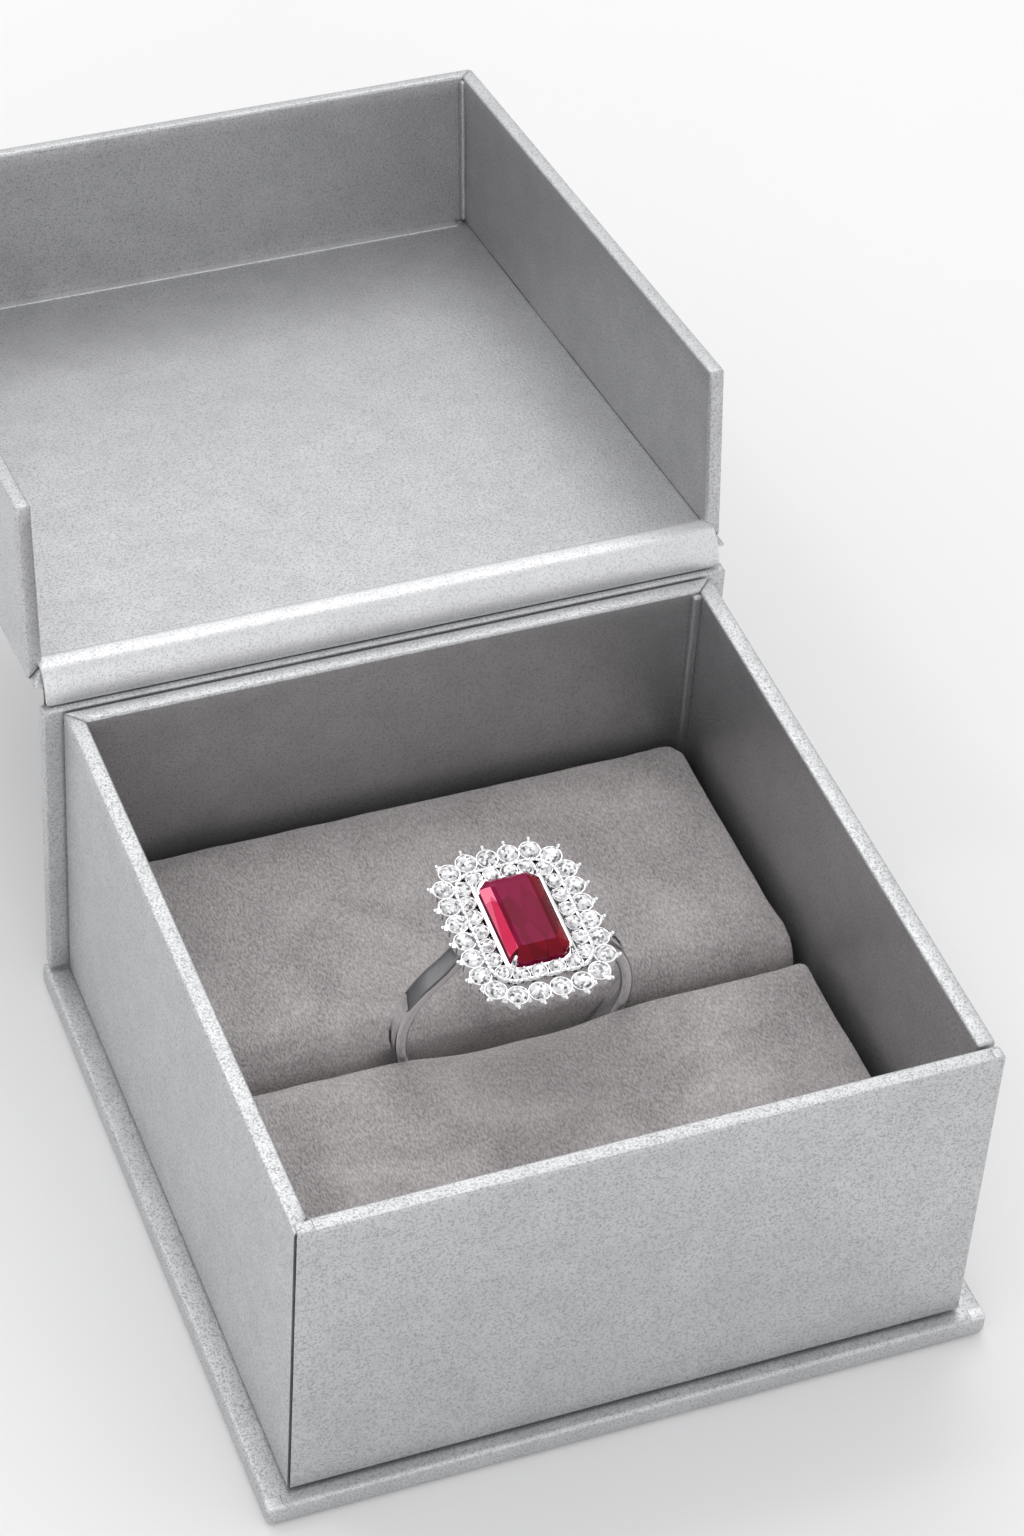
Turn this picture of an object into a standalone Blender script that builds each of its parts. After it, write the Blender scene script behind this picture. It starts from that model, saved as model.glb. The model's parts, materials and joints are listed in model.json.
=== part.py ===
"""Ring box with a hinged lid: a board tray on a base board, a spine board, a three-walled lid,
two covered foam pads with a slot between them, and the ring that the slot holds.

Metres, +Z up. The origin is the centre of the base board's underside. X runs along the hinge
and +Y points from the tray's front wall to the hinge. The lid is modelled shut in the frame of
its pivot and laid open by that pivot; the ring is modelled upright in the frame of its band.
"""

import math

import bmesh
import bpy
from mathutils import Matrix, Vector

MM = 0.001
GAP = 0.3 * MM                    # clearance between glued or nested pieces

# Tray and base
TRAY_WIDTH = 56.0 * MM
TRAY_DEPTH = 57.6 * MM
TRAY_HEIGHT = 29.4 * MM           # from the base board's top to the rim
TRAY_BOARD = 1.5 * MM
BASE_BOARD = 2.0 * MM
SIDE_LIP = 2.0 * MM               # the base board past the tray, each side
FRONT_LIP = 1.2 * MM
EDGE_ROUND = 0.25 * MM
BASE_EDGE_ROUND = 0.6 * MM

# Spine and lid
SPINE_BOARD = 1.2 * MM
SPINE_WIDTH = 59.2 * MM
LID_BOARD = 1.3 * MM
LID_WALL_HEIGHT = 16.1 * MM       # from the lid's outer face to its walls' free edge
LID_FRONT_PLAY = 0.3 * MM         # lid's front wall to the tray's front wall, shut
LID_SIDE_SETBACK = 1.5 * MM       # side walls stop this short of the hinge, to clear the spine
LID_OPEN_DEG = 188.5

# Pads
INSERT_CARD = 1.0 * MM
PAD_TOP = 14.0 * MM               # above the base board's top
VELVET = 0.6 * MM
SLOT_Y = 28.6 * MM                # from the tray's front face
SLOT_WIDTH = 0.8 * MM
REAR_ROLL = 2.6 * MM              # the rear pad's edge rolls down into the slot
FRONT_ROLL = 0.9 * MM
PAD_ROUND = 0.6 * MM              # the pads' other top edges
COVER_OPEN_BELOW = 2.0 * MM       # how far the room for the foam runs out under a cover

# Ring
BAND_INNER_R = 9.0 * MM
BAND_THICK = 1.1 * MM
BAND_WIDTH = 2.0 * MM
RING_TILT_DEG = 6.0               # the band leans towards the tray's front
RING_FOOT_Y = 29.5 * MM           # the band's lowest point, from the tray's front face
RING_FOOT_Z = 5.4 * MM            # the same point above the base board's top
BAND_EDGE_ROUND = 0.35 * MM
NOTCH_CLEARANCE = 0.35 * MM
HEAD_HALF_GAP_DEG = 33.0          # the band is open this far each side of its crown
BAND_STEPS = 40

# The ring's head: heights are from the girdle, half sizes run along X and along the finger
STONE_GIRDLE_Z = 11.2 * MM        # above the band's centre
STONE_HALF = (2.5 * MM, 4.3 * MM)
STONE_CORNER = 0.7 * MM
STONE_STEPS = (                   # drawn in from the girdle's outline, and height
    (2.1 * MM, -1.9 * MM),
    (1.1 * MM, -1.2 * MM),
    (0.0, -0.1 * MM),
    (0.0, 0.05 * MM),
    (0.4 * MM, 0.4 * MM),
    (0.8 * MM, 0.75 * MM),
)
GALLERY_OUTER, GALLERY_INNER = (3.7 * MM, 5.4 * MM), (2.9 * MM, 4.6 * MM)
GALLERY_LOW, GALLERY_HIGH = -2.1 * MM, -1.2 * MM
GALLERY_TAPER = 0.85
INNER_HALO_OUTER, INNER_HALO_INNER = (4.3 * MM, 5.7 * MM), (2.8 * MM, 4.6 * MM)
INNER_HALO_LOW, INNER_HALO_HIGH = -0.9 * MM, -0.1 * MM
OUTER_HALO_OUTER, OUTER_HALO_INNER = (5.8 * MM, 7.4 * MM), (4.6 * MM, 6.0 * MM)
OUTER_HALO_LOW, OUTER_HALO_HIGH = -1.1 * MM, -0.3 * MM
HALO_LOBES = 24
LOBE_POINTS = 6
LOBE_SWELL = 0.055                # of the rail's size
PRONG_RADIUS = 0.22 * MM
PRONG_LENGTH = 1.3 * MM
PRONG_MIDDLE = -0.25 * MM

BASE_WIDTH = TRAY_WIDTH + 2 * SIDE_LIP
BASE_DEPTH = FRONT_LIP + TRAY_DEPTH + GAP + SPINE_BOARD
TRAY_Y = -BASE_DEPTH / 2 + FRONT_LIP             # the tray's front face
SPINE_BACK_Y = TRAY_Y + TRAY_DEPTH + GAP + SPINE_BOARD
TRAY_BOTTOM = BASE_BOARD
RIM_Z = TRAY_BOTTOM + TRAY_HEIGHT
HINGE = Vector((0, SPINE_BACK_Y, RIM_Z + GAP + LID_BOARD))
LID_DEPTH = SPINE_BACK_Y - TRAY_Y + LID_FRONT_PLAY + LID_BOARD
BAND_OUTER_R = BAND_INNER_R + BAND_THICK

RING_TILT = math.radians(RING_TILT_DEG)
RING_UP = Vector((0, -math.sin(RING_TILT), math.cos(RING_TILT)))
RING_FOOT = Vector((0, TRAY_Y + RING_FOOT_Y, TRAY_BOTTOM + RING_FOOT_Z))
RING_CENTRE = RING_FOOT + RING_UP * BAND_OUTER_R


def clear_scene():
    for obj in list(bpy.data.objects):
        bpy.data.objects.remove(obj, do_unlink=True)


def material(name, colour, roughness, metallic=0.0):
    made = bpy.data.materials.new(name)
    made.use_nodes = True
    shader = made.node_tree.nodes["Principled BSDF"]
    shader.inputs["Base Color"].default_value = (*colour, 1.0)
    shader.inputs["Roughness"].default_value = roughness
    shader.inputs["Metallic"].default_value = metallic
    made.diffuse_color = (*colour, 1.0)
    return made


def pivot(name, location, tilt_deg):
    """An empty at a joint, turned about X."""
    empty = bpy.data.objects.new(name, None)
    empty.location = location
    empty.rotation_euler = (math.radians(tilt_deg), 0, 0)
    bpy.context.collection.objects.link(empty)
    return empty


def finish(name, bm, finish_material, parent=None, smooth_deg=None):
    """Turn a bmesh into a named object with its faces pointing out."""
    bmesh.ops.recalc_face_normals(bm, faces=bm.faces[:])
    mesh = bpy.data.meshes.new(name)
    bm.to_mesh(mesh)
    bm.free()
    mesh.materials.append(finish_material)
    if smooth_deg is not None:
        mesh.shade_smooth()
        mesh.set_sharp_from_angle(angle=math.radians(smooth_deg))
    obj = bpy.data.objects.new(name, mesh)
    obj.parent = parent
    bpy.context.collection.objects.link(obj)
    return obj


def block(low, high):
    """A bmesh box between two corners."""
    low, high = Vector(low), Vector(high)
    size = high - low
    bm = bmesh.new()
    place = Matrix.Translation((low + high) / 2) @ Matrix.Diagonal((*size, 1.0))
    bmesh.ops.create_cube(bm, size=1.0, matrix=place)
    return bm


def board(name, low, high, finish_material, parent=None, edge=EDGE_ROUND):
    """A flat board with its edges slightly rounded."""
    bm = block(low, high)
    obj = finish(name, bm, finish_material, parent)
    softened = obj.modifiers.new("edge_round", "BEVEL")
    softened.width = edge
    softened.segments = 2
    softened.limit_method = "ANGLE"
    return obj


def rounded_outline(half_x, half_y, corner, steps):
    """Points round a rectangle with round corners, anticlockwise from its right side."""
    points = []
    for sign_x, sign_y, start in ((1, 1, 0), (-1, 1, 90), (-1, -1, 180), (1, -1, 270)):
        centre = Vector((sign_x * (half_x - corner), sign_y * (half_y - corner)))
        for step in range(steps + 1):
            angle = math.radians(start + 90 * step / steps)
            points.append(centre + corner * Vector((math.cos(angle), math.sin(angle))))
    return points


def resample(points, count):
    """The outline again, as evenly spaced points."""
    closed = points + [points[0]]
    lengths = [0.0]
    for start, end in zip(closed, closed[1:]):
        lengths.append(lengths[-1] + (end - start).length)
    spaced = []
    place = 0
    for number in range(count):
        distance = lengths[-1] * number / count
        while lengths[place + 1] < distance:
            place += 1
        span = lengths[place + 1] - lengths[place]
        share = (distance - lengths[place]) / span if span else 0.0
        spaced.append(closed[place].lerp(closed[place + 1], share))
    return spaced


def skin_over(rings, close_ends=True):
    """A bmesh through rings of points, all with the same count, capped or joined end to end."""
    bm = bmesh.new()
    loops = [[bm.verts.new(point) for point in ring] for ring in rings]
    pairs = list(zip(loops, loops[1:]))
    if close_ends:
        bm.faces.new(loops[0])
        bm.faces.new(loops[-1])
    else:
        pairs.append((loops[-1], loops[0]))
    for lower, upper in pairs:
        sides = zip(lower, lower[1:] + lower[:1], upper[1:] + upper[:1], upper)
        for corners in sides:
            bm.faces.new(corners)
    return bm


def loft(levels, close_ends=True):
    """Flat outlines, each given with its height, joined into one skin."""
    return skin_over([[(p.x, p.y, z) for p in outline] for outline, z in levels], close_ends)


def sweep(outline, stations):
    """A flat outline carried through a list of matrices."""
    return skin_over([[place @ Vector((p.x, p.y, 0)) for p in outline] for place in stations])


def cutter(name, bm, parent=None):
    mesh = bpy.data.meshes.new(name)
    bmesh.ops.recalc_face_normals(bm, faces=bm.faces[:])
    bm.to_mesh(mesh)
    bm.free()
    obj = bpy.data.objects.new(name, mesh)
    obj.parent = parent
    obj.hide_render = True
    obj.display_type = "WIRE"
    bpy.context.collection.objects.link(obj)
    return obj


def cut(obj, tool):
    boolean = obj.modifiers.new("cut_" + tool.name, "BOOLEAN")
    boolean.operation = "DIFFERENCE"
    boolean.solver = "EXACT"
    boolean.object = tool


def make_base(paper):
    """The base board and the spine board, which carries the hinge."""
    half = BASE_WIDTH / 2
    board("base_board", (-half, -BASE_DEPTH / 2, 0), (half, SPINE_BACK_Y, BASE_BOARD), paper,
          edge=BASE_EDGE_ROUND)
    half = SPINE_WIDTH / 2
    board("spine_board", (-half, SPINE_BACK_Y - SPINE_BOARD, TRAY_BOTTOM + GAP),
          (half, SPINE_BACK_Y, RIM_Z), paper)


def make_tray(paper):
    """A floor and four walls; the side walls stand between the front and rear ones."""
    low = TRAY_BOTTOM + GAP
    half = TRAY_WIDTH / 2
    inner = half - TRAY_BOARD
    front, rear = TRAY_Y, TRAY_Y + TRAY_DEPTH
    board("tray_front_wall", (-half, front, low), (half, front + TRAY_BOARD, RIM_Z), paper)
    board("tray_rear_wall", (-half, rear - TRAY_BOARD, low), (half, rear, RIM_Z), paper)
    between = (front + TRAY_BOARD + GAP, rear - TRAY_BOARD - GAP)
    for side, sign in (("left", -1), ("right", 1)):
        xs = sorted((sign * inner, sign * half))
        board(f"tray_{side}_wall", (xs[0], between[0], low), (xs[1], between[1], RIM_Z), paper)
    board("tray_floor", (-inner + GAP, between[0], low),
          (inner - GAP, between[1], low + TRAY_BOARD), paper)


def pad_span():
    """The pads' room: half width, front y and rear y inside the tray."""
    half = TRAY_WIDTH / 2 - TRAY_BOARD - GAP
    return half, TRAY_Y + TRAY_BOARD + GAP, TRAY_Y + TRAY_DEPTH - TRAY_BOARD - GAP


def rounded_pad(low, high, slot_y, roll):
    """A pad whose top edges are rounded, with its own radius along the slot."""
    bm = block(low, high)
    top = [e for e in bm.edges if all(v.co.z > high[2] - GAP for v in e.verts)]
    along_slot = [e for e in top if all(abs(v.co.y - slot_y) < GAP for v in e.verts)]
    others = [e for e in top if e not in along_slot]
    bmesh.ops.bevel(bm, geom=along_slot, offset=roll, segments=4, profile=0.5,
                    affect="EDGES", clamp_overlap=True)
    others = [e for e in others if e.is_valid]
    bmesh.ops.bevel(bm, geom=others, offset=PAD_ROUND, segments=2, profile=0.5,
                    affect="EDGES", clamp_overlap=True)
    return bm


def make_pads(card, foam, velvet, notch):
    """The card in the tray's floor, two foam blocks on it, and a velvet cover over each."""
    half, front, rear = pad_span()
    card_low = TRAY_BOTTOM + 2 * GAP + TRAY_BOARD
    card_top = card_low + INSERT_CARD
    board("insert_card", (-half, front, card_low), (half, rear, card_top), card)
    low, top = card_top + GAP, TRAY_BOTTOM + PAD_TOP
    slot = TRAY_Y + SLOT_Y
    skin = VELVET + GAP
    for name, y_low, y_high, slot_y, roll in (
        ("front", front, slot - SLOT_WIDTH / 2, slot - SLOT_WIDTH / 2, FRONT_ROLL),
        ("rear", slot + SLOT_WIDTH / 2, rear, slot + SLOT_WIDTH / 2, REAR_ROLL),
    ):
        inward = skin if name == "rear" else -skin
        room = cutter(f"{name}_cover_room", rounded_pad(
            (-half + VELVET, y_low + VELVET, low - COVER_OPEN_BELOW),
            (half - VELVET, y_high - VELVET, top - VELVET),
            slot_y + math.copysign(VELVET, inward), max(roll - VELVET, GAP)))
        cover = finish(f"{name}_pad_cover", rounded_pad(
            (-half, y_low, low), (half, y_high, top), slot_y, roll), velvet)
        cut(cover, room)
        block_of_foam = finish(f"{name}_foam", rounded_pad(
            (-half + skin, y_low + skin, low), (half - skin, y_high - skin, top - skin),
            slot_y + inward, max(roll - skin, GAP)), foam)
        for piece in (cover, block_of_foam):
            cut(piece, notch)


def make_lid(paper, hinge):
    """The lid board and its three walls, modelled shut: it runs to -Y and its walls hang down."""
    half = BASE_WIDTH / 2
    inner = half - LID_BOARD
    under = -LID_BOARD - GAP
    free = -LID_WALL_HEIGHT
    board("lid_board", (-half, -LID_DEPTH, -LID_BOARD), (half, 0, 0), paper, hinge)
    board("lid_front_wall", (-half, -LID_DEPTH, free), (half, -LID_DEPTH + LID_BOARD, under),
          paper, hinge)
    for side, sign in (("left", -1), ("right", 1)):
        xs = sorted((sign * inner, sign * half))
        board(f"lid_{side}_wall", (xs[0], -LID_DEPTH + LID_BOARD + GAP, free),
              (xs[1], -LID_SIDE_SETBACK, under), paper, hinge)


def band_stations():
    """Where the band's section stands, from one shoulder round the foot to the other."""
    middle = BAND_INNER_R + BAND_THICK / 2
    swept_deg = 360 - 2 * HEAD_HALF_GAP_DEG
    stations = []
    for number in range(BAND_STEPS + 1):
        angle = 90 + HEAD_HALF_GAP_DEG + swept_deg * number / BAND_STEPS
        turn = Matrix.Rotation(-math.radians(angle), 4, "Y")
        stations.append(turn @ Matrix.Translation((middle, 0, 0)))
    return stations


def make_band(metal, frame):
    """The band: a low D section carried round the finger hole, open under the head."""
    section = rounded_outline(BAND_THICK / 2, BAND_WIDTH / 2, BAND_EDGE_ROUND, 2)
    finish("ring_band", sweep(section, band_stations()), metal, frame, smooth_deg=40)


def rail(name, outside, inside, low, high, metal, frame, taper=1.0):
    """A frame between two outlines, with a hole through it; its lower edges may draw in."""
    low, high = STONE_GIRDLE_Z + low, STONE_GIRDLE_Z + high
    levels = [([p * taper for p in outside], low), (outside, high),
              (inside, high), ([p * taper for p in inside], low)]
    finish(name, loft(levels, close_ends=False), metal, frame, smooth_deg=30)


def make_rails(metal, frame):
    """The gallery under the head, the raised inner halo and the lobed outer halo."""
    rail("ring_gallery", rounded_outline(*GALLERY_OUTER, 0.8 * MM, 4),
         rounded_outline(*GALLERY_INNER, 0.5 * MM, 4), GALLERY_LOW, GALLERY_HIGH,
         metal, frame, GALLERY_TAPER)
    rail("inner_halo", rounded_outline(*INNER_HALO_OUTER, 0.7 * MM, 4),
         rounded_outline(*INNER_HALO_INNER, 0.4 * MM, 4), INNER_HALO_LOW, INNER_HALO_HIGH,
         metal, frame)
    count = HALO_LOBES * LOBE_POINTS
    edge = resample(rounded_outline(*OUTER_HALO_OUTER, 2.2 * MM, 8), count)
    hole = resample(rounded_outline(*OUTER_HALO_INNER, 1.1 * MM, 8), count)
    lobed = []
    for number, point in enumerate(edge):
        swell = abs(math.sin(math.pi * number / LOBE_POINTS))
        lobed.append(point * (1.0 + LOBE_SWELL * swell))
    rail("outer_halo", lobed, hole, OUTER_HALO_LOW, OUTER_HALO_HIGH, metal, frame)


def emerald_outline(half_x, half_y, corner):
    """A rectangle with its corners cut off, anticlockwise."""
    points = []
    for sign_x, sign_y in ((1, 1), (-1, 1), (-1, -1), (1, -1)):
        on_side = Vector((sign_x * half_x, sign_y * (half_y - corner)))
        on_end = Vector((sign_x * (half_x - corner), sign_y * half_y))
        points += [on_side, on_end] if sign_x == sign_y else [on_end, on_side]
    return points


def make_stone(gem, metal, frame):
    """The step-cut centre stone and a prong at each of its cut corners."""
    half_x, half_y = STONE_HALF
    levels = []
    for inset, height in STONE_STEPS:
        outline = emerald_outline(half_x - inset, half_y - inset, STONE_CORNER - inset / 4)
        levels.append((outline, STONE_GIRDLE_Z + height))
    finish("centre_stone", loft(levels), gem, frame)
    for sign_x, end in ((-1, "left"), (1, "right")):
        for sign_y, side in ((-1, "front"), (1, "rear")):
            post = bmesh.new()
            place = (sign_x * half_x, sign_y * half_y, STONE_GIRDLE_Z + PRONG_MIDDLE)
            bmesh.ops.create_cone(post, cap_ends=True, segments=10, radius1=PRONG_RADIUS,
                                  radius2=PRONG_RADIUS, depth=PRONG_LENGTH,
                                  matrix=Matrix.Translation(place))
            finish(f"prong_{side}_{end}", post, metal, frame, smooth_deg=40)


def make_notch(frame):
    """The room that the band needs in the pads, a disc wider than the band."""
    bm = bmesh.new()
    radius = BAND_OUTER_R + NOTCH_CLEARANCE
    width = BAND_WIDTH + 2 * NOTCH_CLEARANCE
    bmesh.ops.create_cone(bm, cap_ends=True, segments=48, radius1=radius, radius2=radius,
                          depth=width, matrix=Matrix.Rotation(math.radians(90), 4, "X"))
    return cutter("band_notch", bm, frame)


def main():
    clear_scene()
    paper = material("silver_paper", (0.55, 0.56, 0.57), 0.45, 0.35)
    card = material("grey_card", (0.42, 0.41, 0.40), 0.9)
    foam = material("grey_foam", (0.30, 0.29, 0.29), 0.95)
    velvet = material("grey_velvet", (0.36, 0.34, 0.335), 0.95)
    metal = material("white_gold", (0.82, 0.82, 0.83), 0.12, 1.0)
    gem = material("red_stone", (0.45, 0.01, 0.06), 0.05)
    lid_pivot = pivot("lid_pivot", HINGE, -LID_OPEN_DEG)
    ring_frame = pivot("ring_frame", RING_CENTRE, RING_TILT_DEG)
    make_base(paper)
    make_tray(paper)
    make_pads(card, foam, velvet, make_notch(ring_frame))
    make_lid(paper, lid_pivot)
    make_band(metal, ring_frame)
    make_rails(metal, ring_frame)
    make_stone(gem, metal, ring_frame)


main()
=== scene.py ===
"""Looks of a paper-covered ring box with its lid laid open, two velvet pads and the ring between them.

Metres, +Z up, X along the hinge, -Y to the front. Boards are built as wrapped boards with mitred
corners; the lid is built shut in the hinge's own frame and laid open; the ring is built upright
round the middle of its band and then leant as the slot holds it.
"""
import json
import math

import bmesh
import bpy
import numpy as np
from mathutils import Euler, Matrix, Vector


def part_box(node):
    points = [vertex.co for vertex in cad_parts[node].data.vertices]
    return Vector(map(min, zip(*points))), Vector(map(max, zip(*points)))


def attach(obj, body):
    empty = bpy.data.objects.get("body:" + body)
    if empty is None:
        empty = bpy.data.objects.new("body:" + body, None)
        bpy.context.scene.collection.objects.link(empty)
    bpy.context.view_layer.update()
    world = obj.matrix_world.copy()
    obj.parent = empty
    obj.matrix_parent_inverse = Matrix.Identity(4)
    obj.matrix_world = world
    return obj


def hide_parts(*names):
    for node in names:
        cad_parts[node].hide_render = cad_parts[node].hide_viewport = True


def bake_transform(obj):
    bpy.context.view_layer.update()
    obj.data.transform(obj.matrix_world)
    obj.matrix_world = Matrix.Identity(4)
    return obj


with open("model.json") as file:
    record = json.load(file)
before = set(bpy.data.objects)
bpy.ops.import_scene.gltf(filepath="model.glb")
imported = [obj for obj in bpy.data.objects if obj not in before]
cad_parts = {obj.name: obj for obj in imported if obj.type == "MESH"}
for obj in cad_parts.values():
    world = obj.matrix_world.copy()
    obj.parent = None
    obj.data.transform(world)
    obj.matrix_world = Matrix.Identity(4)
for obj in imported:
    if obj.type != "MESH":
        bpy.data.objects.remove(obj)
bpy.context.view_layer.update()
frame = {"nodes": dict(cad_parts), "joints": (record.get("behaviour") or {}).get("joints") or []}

MM = 0.001

# Wrapped boards
RIM_ROLL = 0.22 * MM              # paper rolled over a board's edge
SEAM_ROLL = 0.07 * MM             # the same where two boards meet
BASE_ROLL = 0.38 * MM
SEAM_GAP = 0.015 * MM             # between two boards under one sheet of paper
SPLIT_GAP = 0.11 * MM             # where the sheet ends, at the tray's front left corner
INSIDE_SLACK = 0.08 * MM          # how near to a wall's inner face still counts as on it
HINGE_CUTS = 40
GRID = 1.6 * MM                   # spacing of the cuts that let a board wave
WAVE = 0.045 * MM
WAVE_LENGTH = 9 * MM

# Pads
SIM_SCALE = 20.0                  # pads are blown up this much for the cloth simulation
PAD_VOXEL = 0.5 * MM
PAD_CAP = 0.45 * MM
PAD_START_INSET = 0.35 * MM
PAD_PARTING = 0.06 * MM           # half the gap between the pads
DENT_HALF_WIDTH = 7.5 * MM        # the dip that the ring's head leaves in the front pad
DENT_LENGTH = 9 * MM
DENT_HEIGHT = 5 * MM
DENT_DEPTH = 1.5 * MM
BAND_HALF_ROOM = 1.18 * MM        # how far each pad gives way to the band

# Ring
BAND_THICK = 1.1 * MM
SHOULDER_START_DEG = 42           # where the band leaves its circle, above the level
SHOULDER_STEPS = ((-0.94, 1.04), (-0.80, 1.12), (-0.66, 1.16))   # mm, inward and up
SPIN_SIGN = -1                    # spins under the finger, not over the head
BAND_GROOVE = 0.16 * MM
RING_SMOOTH_DEG = 38
# Half width, half length, corner radius and number of stones
OUTER_STONES = (5.08 * MM, 6.75 * MM, 2.9 * MM, 24)
INNER_STONES = (3.65 * MM, 5.0 * MM, 1.5 * MM, 22)
MILGRAIN = (4.24 * MM, 5.58 * MM, 2.0 * MM, 84)
OUTER_STONE_RADIUS, OUTER_CUP_RADIUS = 0.82 * MM, 0.93 * MM
INNER_STONE_RADIUS, INNER_CUP_RADIUS = 0.64 * MM, 0.72 * MM
STONE_SEATED = 0.02 * MM          # a small stone's girdle above its cup
CENTRE_HALF_X, CENTRE_HALF_Y = 2.5 * MM, 4.2 * MM
CENTRE_CORNER = 0.75 * MM
CROWN_STEPS = ((0.38, 0.33), (0.38, 0.24), (0.34, 0.12))             # mm, inward and up
PAVILION_STEPS = ((0.55, 0.75), (0.6, 0.6), (0.6, 0.4), (0.45, 0.12))   # mm, inward and down
PRONG_X, PRONG_Y = 2.475 * MM, 4.2355 * MM


# ---------------------------------------------------------------- hand tools

def only(obj):
    """Make obj the one selected and active object."""
    bpy.ops.object.select_all(action="DESELECT")
    obj.select_set(True)
    bpy.context.view_layer.objects.active = obj


def edit(obj, kind="FACE"):
    only(obj)
    bpy.ops.object.mode_set(mode="EDIT")
    bpy.ops.mesh.select_mode(type=kind)
    bpy.ops.mesh.select_all(action="DESELECT")


def done():
    bpy.ops.object.mode_set(mode="OBJECT")


def pick(obj, kind, test):
    """Select only the verts, edges or faces that pass a test."""
    bpy.ops.mesh.select_mode(type={"verts": "VERT", "edges": "EDGE", "faces": "FACE"}[kind])
    bpy.ops.mesh.select_all(action="DESELECT")
    shape = bmesh.from_edit_mesh(obj.data)
    shape.normal_update()
    for item in filter(test, getattr(shape, kind)):
        item.select_set(True)
    shape.select_flush_mode()
    bmesh.update_edit_mesh(obj.data)


def middle(item):
    """The middle of an edge, or of a face."""
    if isinstance(item, bmesh.types.BMEdge):
        return (item.verts[0].co + item.verts[1].co) / 2
    return item.calc_center_median()


def settle(obj):
    """Put an object's place into its mesh."""
    only(obj)
    bpy.ops.object.transform_apply(location=True, rotation=True, scale=True)
    return obj


def block(name, low, high):
    low, high = Vector(low), Vector(high)
    bpy.ops.mesh.primitive_cube_add(size=1, location=(low + high) / 2)
    obj = bpy.context.object
    obj.name = obj.data.name = name
    obj.scale = high - low
    return settle(obj)


def apply_modifier(obj, kind, **settings):
    only(obj)
    modifier = obj.modifiers.new(kind.lower(), kind)
    for key, value in settings.items():
        setattr(modifier, key, value)
    bpy.ops.object.modifier_apply(modifier=modifier.name)


def smooth(obj, degrees=40):
    only(obj)
    bpy.ops.object.shade_smooth_by_angle(angle=math.radians(degrees))


def bevel(width, segments=3, affect="EDGES"):
    bpy.ops.mesh.bevel(offset=width, segments=segments, profile=0.5, affect=affect,
                       clamp_overlap=True)


def outward():
    bpy.ops.mesh.select_all(action="SELECT")
    bpy.ops.mesh.normals_make_consistent(inside=False)


def slice_all(axis, low, high, step):
    """Even cuts across everything under edit, so that a long board has points to wave with."""
    normal = Vector((0, 0, 0))
    normal[axis] = 1
    count = max(1, round((high - low) / step))
    for number in range(1, count):
        point = Vector((0, 0, 0))
        point[axis] = low + (high - low) * number / count
        bpy.ops.mesh.select_all(action="SELECT")
        bpy.ops.mesh.bisect(plane_co=point, plane_no=normal)


def place_copies(name, master, places):
    """Copies of a small master piece at each place, joined into one piece."""
    twins = []
    for place in places:
        twin = master.copy()
        twin.data = master.data.copy()
        bpy.context.collection.objects.link(twin)
        twin.matrix_world = place
        twins.append(twin)
    bpy.data.objects.remove(master)
    bpy.ops.object.select_all(action="DESELECT")
    for twin in twins:
        twin.select_set(True)
    bpy.context.view_layer.objects.active = twins[0]
    bpy.ops.object.transform_apply(location=True, rotation=True, scale=True)
    return join(name, twins)


def join(name, pieces):
    bpy.ops.object.select_all(action="DESELECT")
    for piece in pieces:
        piece.select_set(True)
    bpy.context.view_layer.objects.active = pieces[0]
    bpy.ops.object.join()
    pieces[0].name = pieces[0].data.name = name
    return pieces[0]


# ---------------------------------------------------------------- frames of the moving pieces

def joint(name):
    return next(j for j in frame["joints"] if j["name"] == name)


def lid_frame():
    """From the shut lid's frame, with its origin on the hinge, to where the lid lies open."""
    hinge = joint("lid_hinge")
    turn = Matrix.Rotation(-math.radians(hinge["range_deg"][0]), 4, Vector(hinge["axis"]))
    return Matrix.Translation(hinge["pos_m"]) @ turn


def box_in(place, node):
    """Lowest and highest corner of a CAD node, in a turned frame."""
    back = place.inverted()
    points = np.array([back @ v.co for v in frame["nodes"][node].data.vertices])
    return Vector(points.min(0)), Vector(points.max(0))


def ring_frame():
    """From a frame round the band's middle, with Z up through the head, to the leaning ring."""
    up = Vector(joint("ring_lift")["axis"]).normalized()
    lean = Matrix.Rotation(math.atan2(-up.y, up.z), 4, "X")
    low, high = box_in(lean, "ring_band")
    radius = (high.x - low.x) / 2
    centre = Vector(((low.x + high.x) / 2, (low.y + high.y) / 2, low.z + radius))
    return lean @ Matrix.Translation(centre), radius


LID = lid_frame()
RING, BAND_RADIUS = ring_frame()


# ---------------------------------------------------------------- materials

def shader_group(name, inputs, outputs):
    tree = bpy.data.node_groups.new(name, "ShaderNodeTree")
    for label, kind, value in inputs:
        socket = tree.interface.new_socket(label, in_out="INPUT", socket_type=kind)
        if value is not None:
            socket.default_value = value
    for label, kind in outputs:
        tree.interface.new_socket(label, in_out="OUTPUT", socket_type=kind)
    return tree, tree.nodes.new("NodeGroupInput"), tree.nodes.new("NodeGroupOutput")


def node(tree, kind, inputs=None, **settings):
    """A shader node, with its settings and with values or links for its inputs."""
    made = tree.nodes.new("ShaderNode" + kind)
    for key, value in settings.items():
        setattr(made, key, value)
    for key, value in (inputs or {}).items():
        if isinstance(value, bpy.types.NodeSocket):
            tree.links.new(value, made.inputs[key])
        else:
            made.inputs[key].default_value = value
    return made


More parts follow.
